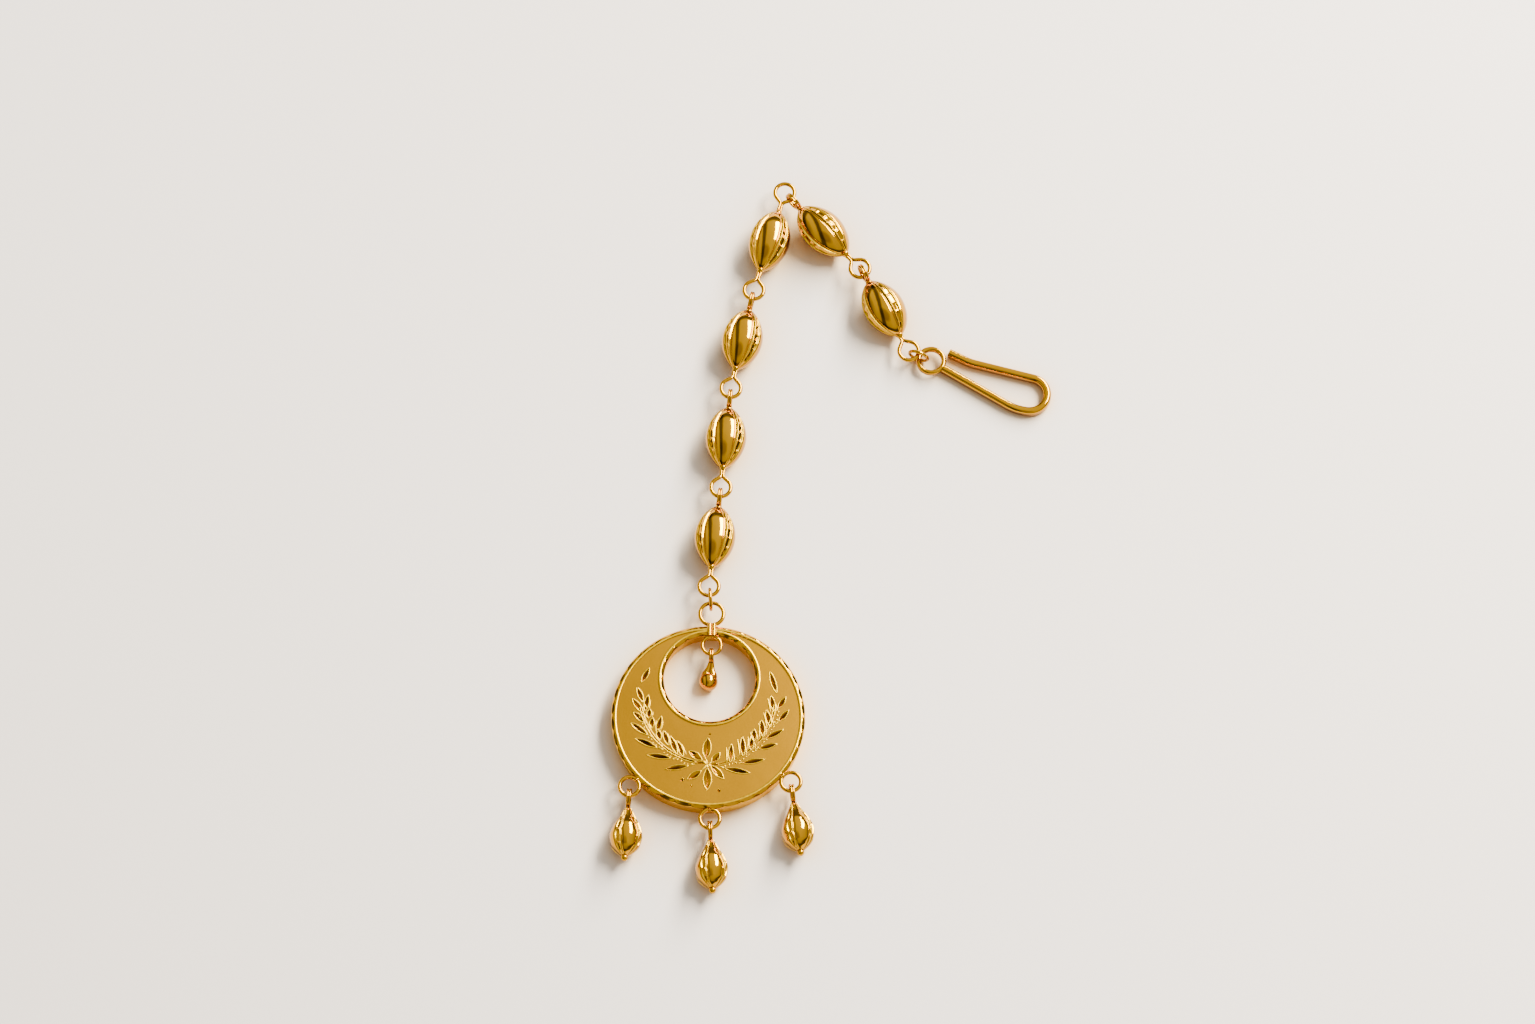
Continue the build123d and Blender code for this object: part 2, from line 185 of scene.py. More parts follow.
def add(tree, kind, **settings):
    node = tree.nodes.new(kind)
    for key, value in settings.items():
        setattr(node, key, value)
    return node


def feed(tree, sockets, values):
    """Links each output to its socket, or sets the socket to a number or a colour."""
    for socket, value in zip(sockets, values):
        if isinstance(value, bpy.types.NodeSocket):
            tree.links.new(value, socket)
        elif isinstance(value, tuple):
            socket.default_value = (*value, 1)
        else:
            socket.default_value = value


def math_node(tree, operation, *values):
    node = add(tree, "ShaderNodeMath", operation=operation)
    feed(tree, node.inputs, values)
    return node.outputs[0]


def noise(tree, vector, scale, detail, roughness=0.5):
    node = add(tree, "ShaderNodeTexNoise")
    sockets = [node.inputs[key] for key in ("Vector", "Scale", "Detail", "Roughness")]
    feed(tree, sockets, (vector, scale, detail, roughness))
    return node.outputs["Fac"]


def ramp(tree, factor, *stops):
    node = add(tree, "ShaderNodeValToRGB")
    elements = node.color_ramp.elements
    while len(elements) < len(stops):
        elements.new(0.5)
    for element, (position, colour) in zip(elements, stops):
        element.position = position
        element.color = (*colour, 1)
    tree.links.new(factor, node.inputs[0])
    return node.outputs[0]


def grey(value):
    return (value, value, value)


def mix_colour(tree, factor, first, second, blend="MIX"):
    node = add(tree, "ShaderNodeMix", data_type="RGBA", blend_type=blend)
    feed(tree, (node.inputs[0], node.inputs[6], node.inputs[7]), (factor, first, second))
    return node.outputs[2]


def times_colour(tree, first, second):
    return mix_colour(tree, 1.0, first, second, "MULTIPLY")


def mix_value(tree, factor, first, second):
    node = add(tree, "ShaderNodeMix", data_type="FLOAT")
    feed(tree, (node.inputs[0], node.inputs[2], node.inputs[3]), (factor, first, second))
    return node.outputs[0]


def coordinates(tree, kind):
    return add(tree, "ShaderNodeTexCoord").outputs[kind]


def parts(tree, vector):
    """The X, Y and Z of a vector."""
    split = add(tree, "ShaderNodeSeparateXYZ")
    tree.links.new(vector, split.inputs[0])
    return split.outputs


def bump(tree, height, distance, strength, normal=None):
    node = add(tree, "ShaderNodeBump")
    node.inputs["Strength"].default_value = strength
    node.inputs["Distance"].default_value = distance
    tree.links.new(height, node.inputs["Height"])
    if normal is not None:
        tree.links.new(normal, node.inputs["Normal"])
    return node.outputs["Normal"]


def near(tree, value, middle, reach):
    """One where a length is within reach of the middle, both in millimetres."""
    return math_node(tree, "COMPARE", value, middle * MM, reach * MM)


def hypotenuse(tree, first, second):
    squares = [math_node(tree, "MULTIPLY", side, side) for side in (first, second)]
    return math_node(tree, "SQRT", math_node(tree, "ADD", *squares))


def distance_from(tree, across, along, x, y):
    """How far a point is from the upright line at x, y on the pendant."""
    from_x = math_node(tree, "SUBTRACT", across, x * MM)
    from_y = math_node(tree, "SUBTRACT", along, y * MM)
    return hypotenuse(tree, from_x, from_y)


# ---- Gold ----
GOLD = (0.57, 0.278, 0.0)
GOLD_DEEP = (0.5, 0.235, 0.0)
# Edge gold: a lighter tone that paints the bright highlight lines of the burnished edges, and the
# walls' painted lit reflection.
EDGE_HIGHLIGHT_GOLD = (0.74, 0.44, 0.0)
EDGE_HIGHLIGHT_GOLD_DEEP = (0.62, 0.355, 0.0)
# Painted light: the walls take a lighter gold that stands in for their reflection of the lit paper.
PAINTED_LIT_WALL_GOLD = (0.72, 0.44, 0.0)
# Painted shade for the floors of the cuts.
PAINTED_CUT_SHADE = (0.14, 0.045, 0.0)
SATIN = (0.29, 0.139, 0.0)
SATIN_DEEP = (0.26, 0.122, 0.0)
# Painted shade for faces that turn sideways or down.
PAINTED_UNDERSIDE_SHADE = (0.6, 0.54, 1)
WHITE = (1, 1, 1)
BLACK = (0, 0, 0)

# How near a point must be to the plate's top or to a wall to take its finish, and how
# rough each finish is at the least and at the most.
TOP_SKIN = 0.004
WALL_SKIN = 0.03
SATIN_ROUGHNESS = (0.36, 0.48)
BRIGHT_ROUGHNESS = (0.07, 0.16)

# Polished gold's smoothest and roughest spots, as shares of its roughness.
SMOOTHEST = 0.6
ROUGHEST = 1.5

# Painted shade darkens the cuts down to this depth, away from the rims. The flower's cuts take less
# of it.
RECESS_DEPTH = 0.075
RECESS_MARGIN = 1.2
FLOWER_X = -0.15
FLOWER_Y = -6.0
FLOWER_REACH = 3.4
FLOWER_SHADE = 0.3

# The plate's slight dome: one over its radius in metres.
PLATE_DOMING = 2.5


def polished_gold(name, roughness=0.09, dark=GOLD_DEEP, light=GOLD):
    """Polished gold: faint waviness, duller spots, and painted shade that darkens its sides and
    underside.
    """
    material, tree, shader = new_material(name)
    where = coordinates(tree, "Object")
    patches = noise(tree, where, scale=420.0, detail=3.0)
    tint = ramp(tree, patches, (0.3, dark), (0.7, light))
    # Painted shade: faces that turn sideways or down take a darker gold.
    upwards = parts(tree, coordinates(tree, "Normal"))["Z"]
    under = ramp(tree, upwards, (0.1, PAINTED_UNDERSIDE_SHADE), (0.6, WHITE))
    tree.links.new(times_colour(tree, tint, under), shader.inputs["Base Color"])
    shader.inputs["Metallic"].default_value = 1.0
    specks = noise(tree, where, scale=2600.0, detail=2.0)
    rough = mix_value(tree, specks, roughness * SMOOTHEST, roughness * ROUGHEST)
    tree.links.new(rough, shader.inputs["Roughness"])
    waves = noise(tree, where, scale=900.0, detail=1.0)
    normal = bump(tree, waves, distance=0.03 * MM, strength=0.5)
    tree.links.new(normal, shader.inputs["Normal"])
    return material


def cut_shade_share(tree, depth, across, along, outer_reach, hole_reach):
    """How much painted shade darkens the cuts: one in the deep parts of the engraving, less in the
    flower, and none on the rims.
    """
    inside = math_node(tree, "LESS_THAN", outer_reach, (PENDANT_RADIUS - RECESS_MARGIN) * MM)
    outside = math_node(tree, "GREATER_THAN", hole_reach, (HOLE_RADIUS + RECESS_MARGIN) * MM)
    share_of_depth = math_node(tree, "DIVIDE", depth, RECESS_DEPTH * MM)
    shade = ramp(tree, share_of_depth, (0.25, BLACK), (1, WHITE))
    flower_reach = distance_from(tree, across, along, FLOWER_X, FLOWER_Y)
    share_of_flower = math_node(tree, "DIVIDE", flower_reach, FLOWER_REACH * MM)
    lighter_flower_shade = ramp(tree, share_of_flower, (0.9, grey(FLOWER_SHADE)), (1.0, WHITE))
    shade = math_node(tree, "MULTIPLY", shade, lighter_flower_shade)
    return math_node(tree, "MULTIPLY", math_node(tree, "MULTIPLY", inside, outside), shade)


def pendant_gold():
    """Satin front plate, a little domed, and satin walls in a lighter gold that paints their lit
    reflection; the cuts and the rest polished, with painted shade in the deep cuts.
    """
    material, tree, shader = new_material("pendant_satin_and_bright_gold")
    where = coordinates(tree, "Object")
    split = parts(tree, where)
    across = math_node(tree, "SUBTRACT", split["X"], CENTRE_X * MM)
    along = math_node(tree, "SUBTRACT", split["Y"], CENTRE_Y * MM)
    depth = math_node(tree, "SUBTRACT", (PLATE_TOP + LIFT) * MM, split["Z"])
    outer_reach = hypotenuse(tree, across, along)
    hole_reach = distance_from(tree, across, along, HOLE_X, HOLE_Y)

    top = near(tree, split["Z"], PLATE_TOP + LIFT, TOP_SKIN)
    outer_wall = near(tree, outer_reach, PENDANT_RADIUS - PLATE_OVERHANG, WALL_SKIN)
    inner_wall = near(tree, hole_reach, HOLE_RADIUS + PLATE_OVERHANG, WALL_SKIN)
    wall = math_node(tree, "MAXIMUM", outer_wall, inner_wall)
    satin = math_node(tree, "MAXIMUM", top, wall)

    broad = noise(tree, where, scale=160.0, detail=3.0)
    plate_tint = ramp(tree, broad, (0.25, SATIN_DEEP), (0.75, SATIN))
    # Painted light: the walls are lighter than the plate, a painted reflection of the lit paper.
    lit_wall_tint = ramp(tree, broad, (0.3, PAINTED_LIT_WALL_GOLD), (0.7, EDGE_HIGHLIGHT_GOLD))
    satin_tint = mix_colour(tree, wall, plate_tint, lit_wall_tint)
    bright_tint = ramp(tree, broad, (0.3, GOLD_DEEP), (0.7, GOLD))
    cut_shade = cut_shade_share(tree, depth, across, along, outer_reach, hole_reach)
    # Painted shade darkens the deep cuts.
    shaded_cut_tint = mix_colour(tree, cut_shade, bright_tint, PAINTED_CUT_SHADE)
    tint = mix_colour(tree, satin, shaded_cut_tint, satin_tint)
    tree.links.new(tint, shader.inputs["Base Color"])
    shader.inputs["Metallic"].default_value = 1.0

    grain = noise(tree, where, scale=5200.0, detail=2.0, roughness=0.6)
    satin_rough = mix_value(tree, grain, *SATIN_ROUGHNESS)
    bright_rough = mix_value(tree, grain, *BRIGHT_ROUGHNESS)
    rough = mix_value(tree, satin, bright_rough, satin_rough)
    tree.links.new(rough, shader.inputs["Roughness"])

    squares = [math_node(tree, "MULTIPLY", side, side) for side in (across, along)]
    bowl = math_node(tree, "MULTIPLY", math_node(tree, "ADD", *squares), -PLATE_DOMING / 2)
    dome = math_node(tree, "MULTIPLY", bowl, satin)
    domed = bump(tree, dome, distance=1.0, strength=1.0)
    satin_grain = math_node(tree, "MULTIPLY", math_node(tree, "MULTIPLY", grain, satin), 0.5)
    waves = noise(tree, where, scale=700.0, detail=1.0)
    height = math_node(tree, "ADD", satin_grain, waves)
    normal = bump(tree, height, distance=0.02 * MM, strength=0.4, normal=domed)
    tree.links.new(normal, shader.inputs["Normal"])
    return material


BRIGHT = polished_gold("polished_gold")
BEAD_GOLD = polished_gold("polished_bead_gold", 0.07)
CUT = polished_gold("bright_cut_gold", 0.06)
# Burnished edges: a rougher finish, and a lighter gold that paints their highlight lines.
EDGE = polished_gold("burnished_edge_gold_painted_highlight", 0.3, EDGE_HIGHLIGHT_GOLD_DEEP, EDGE_HIGHLIGHT_GOLD)
PENDANT = pendant_gold()


# ---- Mesh making ----
class Shape:
    """Points and faces gathered from several surfaces, for one piece.

    A face's mark is 1 where it takes the edge material, and 0 elsewhere.
    """

    def __init__(self):
        self.points = []
        self.faces = []
        self.marks = []

    def grid(self, rows, matrix, closed_rows=True, closed_ends=False, caps=False, edges=()):
        """A surface through rows of points; each row can close on itself, and the rows too.

        The matrix puts the points in place, and the columns in edges are marked.
        """
        start = len(self.points)
        width = len(rows[0])
        for row in rows:
            for point in row:
                self.points.append(matrix @ Vector(point))
        count = len(rows)
        steps = count if closed_ends else count - 1
        across = width if closed_rows else width - 1
        for i in range(steps):
            here = start + i * width
            there = start + (i + 1) % count * width
            for j in range(across):
                k = (j + 1) % width
                self.faces.append((here + j, here + k, there + k, there + j))
                self.marks.append(1 if j in edges else 0)
        if caps:
            self.faces.append(tuple(start + j for j in reversed(range(width))))
            self.faces.append(tuple(start + (count - 1) * width + j for j in range(width)))
            self.marks += [0, 0]


def new_piece(name, shape, material, replaced=()):
    """A piece that rides the one body; nothing of it reaches below the floor."""
    mesh = bpy.data.meshes.new(name)
    above_floor = [(x * MM, y * MM, max(z, 0.0) * MM) for x, y, z in shape.points]
    mesh.from_pydata(above_floor, [], shape.faces)
    mesh.update()
    mesh.materials.append(material)
    mesh.materials.append(EDGE)
    mesh.polygons.foreach_set("use_smooth", [True] * len(shape.faces))
    mesh.polygons.foreach_set("material_index", shape.marks)
    piece = bpy.data.objects.new(name, mesh)
    bpy.context.scene.collection.objects.link(piece)
    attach(piece, "root")
    if replaced:
        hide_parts(*replaced)


PATH_STEPS = 6


def neighbours(points, i, closed):
    """The points before and after one, round the end if the line is closed."""
    last = len(points) - 1
    before = points[i - 1] if i or closed else points[i]
    after = points[(i + 1) % len(points)] if i < last or closed else points[i]
    return before, after


def tube_rows(path, radii, closed, sides):
    """Circles along a path, each turned as little as possible from the one before."""
    path = [Vector(point) for point in path]
    rows = []
    across = None
    for i, point in enumerate(path):
        before, after = neighbours(path, i, closed)
        ahead = (after - before).normalized()
        if across is None:
            across = ahead.orthogonal().normalized()
        across = (across - ahead * across.dot(ahead)).normalized()
        up = ahead.cross(across)
        row = []
        for j in range(sides):
            angle = 2 * math.pi * j / sides
            row.append(point + (across * math.cos(angle) + up * math.sin(angle)) * radii[i])
        rows.append(row)
    return rows


def smooth_path(points):
    """A Catmull-Rom curve through the points."""
    points = [Vector(p) for p in points]
    padded = [points[0] * 2 - points[1], *points, points[-1] * 2 - points[-2]]
    path = []
    for i in range(1, len(padded) - 2):
        a, b, c, d = padded[i - 1 : i + 3]
        for step in range(PATH_STEPS):
            t = step / PATH_STEPS
            once = (c - a) * t
            squared = (2 * a - 5 * b + 4 * c - d) * t * t
            cubed = (3 * b - a - 3 * c + d) * t * t * t
            path.append(0.5 * (2 * b + once + squared + cubed))
    path.append(points[-1])
    return path


def smooth_profile(stations, steps):
    """A smooth line through the stations, without overshoot."""
    xs = np.array([station.along for station in stations])
    rs = np.array([station.radius for station in stations])
    widths = np.diff(xs)
    rates = np.diff(rs) / widths
    slopes = np.zeros(len(xs))
    slopes[0] = rates[0]
    slopes[-1] = rates[-1]
    for i in range(1, len(xs) - 1):
        if rates[i - 1] * rates[i] > 0:
            slopes[i] = 2 * rates[i - 1] * rates[i] / (rates[i - 1] + rates[i])
    along = np.linspace(xs[0], xs[-1], steps)
    span = np.clip(np.searchsorted(xs, along, side="right") - 1, 0, len(widths) - 1)
    t = (along - xs[span]) / widths[span]
    radii = (
        (2 * t**3 - 3 * t**2 + 1) * rs[span]
        + (t**3 - 2 * t**2 + t) * widths[span] * slopes[span]
        + (-2 * t**3 + 3 * t**2) * rs[span + 1]
        + (t**3 - t**2) * widths[span] * slopes[span + 1]
    )
    return along, radii


def ball_rows(x, radius, steps=24, sides=32):
    """Circles from one end of a ball to the other, along +X."""
    rows = []
    for i in range(1, steps):
        along, out = polar(radius, 180 - 180 * i / steps)
        rows.append([(x + along, *polar(out, 360 * j / sides)) for j in range(sides)])
    return rows


# ---- Lobed beads and drops ----
# A band is the raised strip between two lobes: two rails with a cut channel between them.
# Its floor is a row of scoops with a knob where two of them meet. Each scoop's floor
# tilts by up to the tilt, and pinch is how much the rails draw together at the knobs.
# Angles are in degrees.
Band = namedtuple("Band", "half_angle rail_height rail_angle cut_spacing cut_depth pinch knob tilt")
BEAD_BAND = Band(9.5, 0.18, 2.3, 1.15, 0.06, 0.08, 0.05, 14.0)
DROP_BAND = Band(9.5, 0.16, 2.6, 1.5, 0.09, 0.4, 0.1, 14.0)

# A band has at least so many cuts, and its row of cuts may shift by this share of one.
FEWEST_CUTS = 3
CUT_SHIFT = 0.3

# How softly the channel's floor meets the rails, how flat a scoop is along its length,
# and how long and how rounded a knob is.
CHANNEL_SOFTNESS = 0.5
SCOOP_POWER = 0.7
KNOB_LENGTH = 0.25
KNOB_ROUNDNESS = 1.5

# The surface this near a rail's crest takes the edge material.
RAIL_REACH = 2.4

# Beside each band the lobe dips in a soft gutter, so many degrees from the rail.
GUTTER_OFFSET = 5.5
GUTTER_WIDTH = 3.2
GUTTER_DEPTH = 0.1

# The section's angles from the middle of a band: even steps over the band, then wide ones.
BANDS = 4
BAND_SPACING = 90
FIRST_BAND = 45
FINE_STEP = 1.1
FINE_STEPS = 20
LOBE_ANGLES = (24, 27, 31, 35.7, 40.3)

# The beads are more pointed, broader sideways and turned a little more than their solids.
BEAD_POINTEDNESS = 0.71
BEAD_BREADTH = 1.07
BEAD_EXTRA_ROLL = 5
BEAD_SECTIONS = 171
SECTION_GAP = 0.02
DROP_SECTIONS = 140
FIRST_BEAD_SEED = 1
FIRST_DROP_SEED = 31


def section_angles():
    """Angles round the body, close together over the four bands."""
    half = [FINE_STEP * step for step in range(1, FINE_STEPS + 1)] + list(LOBE_ANGLES)
    offsets = [-offset for offset in reversed(half)] + [0, *half, BAND_SPACING / 2]
    angles = []
    for index in range(BANDS):
        angles += [FIRST_BAND + BAND_SPACING * index + offset for offset in offsets]
    return np.radians(angles)


def rail_columns(band):
    """The columns of a body's surface that run along the crests of the rails."""
    offsets = (np.degrees(section_angles()) % BAND_SPACING) - FIRST_BAND
    from_rail = np.abs(np.abs(offsets) - band.half_angle)
    return {j for j, distance in enumerate(from_rail) if distance < RAIL_REACH}


def body_rows(xs, radii, band, seed):
    """Rows of points of a lobed body with four cut bands, along +X."""
    rng = random.Random(seed)
    angles = section_angles()
    surface = np.repeat(radii[:, None], len(angles), axis=1)
    size = (radii / BEAD_RADIUS)[:, None]
    length = xs[-1] - xs[0]
    count = max(FEWEST_CUTS, round(length / band.cut_spacing))
    for index in range(BANDS):
        crest = math.radians(FIRST_BAND + BAND_SPACING * index)
        offset = np.degrees((angles - crest + math.pi) % (2 * math.pi) - math.pi)[None, :]
        shift = rng.uniform(-CUT_SHIFT, CUT_SHIFT)
        part = (xs[:, None] - xs[0]) / length * count + shift
        cut = np.floor(part)
        along = (part - cut) * 2 - 1
        scoop = 1 - along**2
        half = band.half_angle * (1 - band.pinch * (1 - scoop))
        beyond = np.abs(offset) - half
        rail = np.exp(-((beyond / band.rail_angle) ** 2))
        channel = 1 / (1 + np.exp(beyond / CHANNEL_SOFTNESS))
        tilts = np.array([rng.uniform(-1, 1) for _ in range(count + 3)])
        tilt = tilts[np.clip(cut.astype(int) + 1, 0, count + 2)]
        lean = math.tan(math.radians(band.tilt)) * tilt * along * band.cut_spacing / 2
        floor = -band.cut_depth * scoop**SCOOP_POWER + lean * scoop
        gutter = np.exp(-(((beyond - GUTTER_OFFSET) / GUTTER_WIDTH) ** 2))
        knob = np.exp(-((scoop / KNOB_LENGTH) ** 2))
        knob = knob * np.exp(-((offset / half) ** 2) * KNOB_ROUNDNESS)
        raised = band.rail_height * rail + floor * channel + band.knob * knob
        surface += size * (raised - GUTTER_DEPTH * gutter)
    rows = []
    for x, section in zip(xs, surface):
        rows.append([(x, r * math.sin(a), r * math.cos(a)) for r, a in zip(section, angles)])
    return rows


def bead_rows(length, seed):
    """A bead's body, without the sections that crowd together at its two tips."""
    turns = np.linspace(-math.pi / 2, math.pi / 2, BEAD_SECTIONS)
    xs = np.sin(turns) * length / 2
    bulge = np.cos(turns) ** (2 * BEAD_POINTEDNESS)
    radii = np.maximum(BEAD_RADIUS * bulge, BEAD_TIP_RADIUS)
    keep = [0]
    for i in range(1, len(xs)):
        if xs[i] - xs[keep[-1]] > SECTION_GAP:
            keep.append(i)
    return body_rows(xs[keep], radii[keep], BEAD_BAND, seed)


# ---- Wire ends: rings and loops of two strands ----
# A flat ring's two strands start inside the bead, close together, and run side by side
# until the ring opens. The wire is full on the ring and tapers down to the strands.
STRAND_OFFSET = 0.16
STRAND_WIRE = 0.18
STRAND_ROOT = 0.35
ROOT_SQUEEZE = 0.6
NECK_START = 0.1
NECK_END = 0.28
SHORTEST_NECK = 0.2
RING_OPENING = 32
RING_POINTS = 15
RING_FULL = 0.05
RING_TAPER = 0.4

# A standing loop's two strands lie side by side, and spread where it meets the bead.
LOOP_STRAND_OFFSET = 0.13
LOOP_STRAND_SPREAD = 0.08
LOOP_STRAND_WIRE = 0.155
SPREAD_SHARPNESS = 6
LOOP_POINTS = 60

# The cone of solder at a bead's tip: the distance from the tip, and the radius.
SOLDER = ((-0.3, 0.52), (-0.08, 0.42), (0.12, 0.3), (0.3, 0.18))
SOLDER_SIDES = 24


def eye_pin(tip, centre):
    """Wire that leaves a bead's tip, runs round a ring and comes back beside itself."""
    root = (tip - STRAND_ROOT, STRAND_OFFSET * ROOT_SQUEEZE, 0)
    start = [root, (tip + NECK_START, STRAND_OFFSET, 0)]
    neck_end = centre - RING_RADIUS - NECK_END
    if neck_end > tip + SHORTEST_NECK:
        start.append((neck_end, STRAND_OFFSET, 0))
    ring = []
    for angle in np.linspace(180 - RING_OPENING, -180 + RING_OPENING, RING_POINTS):
        x, y = polar(RING_RADIUS, angle)
        ring.append((centre + x, y, 0))
    back = [(x, -y, z) for x, y, z in reversed(start)]
    path = smooth_path(start + ring + back)
    radii = []
    for point in path:
        away = (point - Vector((centre, 0, 0))).length
        slim = min(1, max(0, (away - RING_RADIUS - RING_FULL) / RING_TAPER))
        radii.append(RING_WIRE * (1 - slim) + STRAND_WIRE * slim)
    return tube_rows(path, radii, closed=False, sides=18)


def add_loop(shape, radius, centre, matrix):
    """A loop of doubled wire on edge, its two strands side by side and spread at the root."""
    for side in (-1, 1):
        path = []
        for index in range(LOOP_POINTS):
            angle = 360 * index / LOOP_POINTS
            x, z = polar(radius, angle)
            root = max(0, -math.cos(math.radians(angle))) ** SPREAD_SHARPNESS
            spread = LOOP_STRAND_OFFSET + LOOP_STRAND_SPREAD * root
            path.append((centre + x, side * spread, z))
        rows = tube_rows(path, [LOOP_STRAND_WIRE] * len(path), closed=True, sides=16)
        shape.grid(rows, closed_ends=True, matrix=matrix)


def ring_distance(neck):
    """From a bead's tip to the middle of its ring."""
    return neck + RING_RADIUS + RING_WIRE - SOLDER_LAP


def add_end(shape, kind, tip, neck, matrix):
    """The ring or loop at a bead's tip, and the solder round its root."""
    if kind == "ring":
        rows = eye_pin(tip, tip + ring_distance(neck))
        shape.grid(rows, caps=True, matrix=matrix)
    else:
        add_loop(shape, LOOP_RADIUS, tip + LOOP_RADIUS + LOOP_WIRE, matrix)
    rows = []
    for along, radius in SOLDER:
        angles = [360 / SOLDER_SIDES * j for j in range(SOLDER_SIDES)]
        rows.append([(tip + along, *polar(radius, angle)) for angle in angles])
    shape.grid(rows, caps=True, matrix=matrix)


def joint_distance(kind, link):
    """From a bead's tip to the middle of the flat ring at that joint, whichever link's."""
    if kind == "ring":
        return ring_distance(link.neck)
    return 2 * (LOOP_RADIUS + LOOP_WIRE) + link.slack


def make_links():
    """The six beads, each starting where the one before it ends."""
    x = FIRST_LINK_X
    y = FIRST_LINK_Y
    broader = Matrix.Diagonal((1, BEAD_BREADTH, 1, 1))
    for seed, link in enumerate(LINKS, FIRST_BEAD_SEED):
        tip = link.bead_length / 2
        before = joint_distance(link.first_end, link) + tip
        after = tip + joint_distance(link.last_end, link)
        ahead_x, ahead_y = polar(1, link.heading)
        matrix = place(x + before * ahead_x, y + before * ahead_y, BEAD_RADIUS)
        matrix = matrix @ turn(link.heading, "Z") @ turn(link.dip, "Y")
        rolled = matrix @ broader @ turn(link.roll + BEAD_EXTRA_ROLL, "X")
        shape = Shape()
        rows = bead_rows(link.bead_length, seed)
        shape.grid(rows, caps=True, matrix=rolled, edges=rail_columns(BEAD_BAND))
        add_end(shape, link.last_end, tip, link.neck, matrix)
        add_end(shape, link.first_end, tip, link.neck, matrix @ turn(180, "Z"))
        new_piece("lobed_" + link.name, shape, BEAD_GOLD, [link.name])
        x += (before + after) * ahead_x
        y += (before + after) * ahead_y


def make_drops():
    xs, radii = smooth_profile(DROP_STATIONS, DROP_SECTIONS)
    top = LOOP_RADIUS + LOOP_WIRE
    for seed, drop in enumerate(DROPS, FIRST_DROP_SEED):
        ring_x, ring_y = polar(DROP_LOOP_DISTANCE, drop.bearing)
        ahead_x, ahead_y = polar(DROP_REACH, drop.heading)
        matrix = place(ring_x + ahead_x, ring_y + ahead_y, DROP_RADIUS) @ turn(drop.heading, "Z")
        rolled = matrix @ turn(DROP_ROLL, "X")
        shape = Shape()
        rows = body_rows(xs + top, radii, DROP_BAND, seed)
        shape.grid(rows, caps=True, matrix=rolled, edges=rail_columns(DROP_BAND))
        tip_ball = ball_rows(top + DROP_LENGTH + TIP_BALL_RADIUS / 2, TIP_BALL_RADIUS)
        shape.grid(tip_ball, caps=True, matrix=matrix)
        add_loop(shape, LOOP_RADIUS, 0.0, matrix)
        new_piece("lobed_" + drop.name, shape, BEAD_GOLD, [drop.name])


# ---- The ball on its bell-shaped cap of two strands ----
# Each pair is the distance from the ball's middle and half the cap's width there.
CAP = ((0.55, 0.98), (0.95, 0.86), (1.2, 0.7), (1.5, 0.55), (1.85, 0.44), (2.2, 0.37), (2.45, 0.34))
CAP_STRAND_OFFSET = 0.46
CAP_STRAND_WIRE = 0.56


def make_ball():
    shape = Shape()
    centre = Vector(BALL)
    loop = Vector(BALL_LOOP)
    rise = Vector((0, loop.y - centre.y, loop.z - centre.z)).normalized()
    upwards = (loop - rise * BALL_LOOP_RADIUS - centre).normalized()
    heading = math.degrees(math.atan2(upwards.y, upwards.x))
    climb = math.degrees(math.asin(upwards.z))
    matrix = place(*centre) @ turn(heading, "Z") @ turn(-climb, "Y")
    shape.grid(ball_rows(0, BALL_RADIUS, steps=48, sides=64), caps=True, matrix=matrix)
    distances, widths = zip(*CAP)
    for side in (-1, 1):
        path = smooth_path([(x, side * CAP_STRAND_OFFSET * width, 0) for x, width in CAP])
        radii = [CAP_STRAND_WIRE * float(np.interp(point.x, distances, widths)) for point in path]
        rows = tube_rows(path, radii, closed=False, sides=28)
        shape.grid(rows, caps=True, matrix=matrix)
    lean = math.degrees(math.atan2(rise.z, rise.y))
    matrix = place(*loop) @ turn(90, "Z") @ turn(-lean, "Y")
    add_loop(shape, BALL_LOOP_RADIUS, 0.0, matrix)
    new_piece("ball_on_bell_cap", shape, BRIGHT, ["ball_drop"])


# ---- Bright-cut rims, laid over the plain bevels of the pendant ----
# The raised line lies this far above the solid's.
RIM_SKIN = 0.012

# The cusps between the wheel cuts, and the lean of each cut.
CUSP_SHIFT = 0.1
CUSP_SHARPNESS = 2.6
CUSP_HEIGHT = 0.14
CUT_LEAN = 0.008
STEPS_PER_CUT = 16

# Where the bevel starts beside the line, and the shares of its width with a point.
BEVEL_START = 0.09
BEVEL_RISE = 0.05
BEVEL_PARTS = (0.0, 0.12, 0.26, 0.42, 0.58, 0.74, 0.88, 0.97)
BULGE_ROUNDNESS = 0.7

# The rest of the rim's cross-section: how far each point lies from an edge towards the
# plate, and how far above the line's top or the bevel's foot.
LINE_BESIDE_PLATE = ((0.04, -0.132), (0.01, -0.05), (-0.03, 0.0))
LINE_BESIDE_BEVEL = ((-0.03, 0.004), (-0.07, -0.012))
FOOT = ((-0.012, -0.01), (-0.016, -0.06), (-0.016, -0.122))

# The columns along the crest of the raised line, which take the edge material.
LINE_COLUMNS = (1, 2, 3)


def beside(edge, inwards, level, offsets):
    """Points of a rim's cross-section, each a radius and a height."""
    return [(edge + inwards * across, level + rise) for across, rise in offsets]


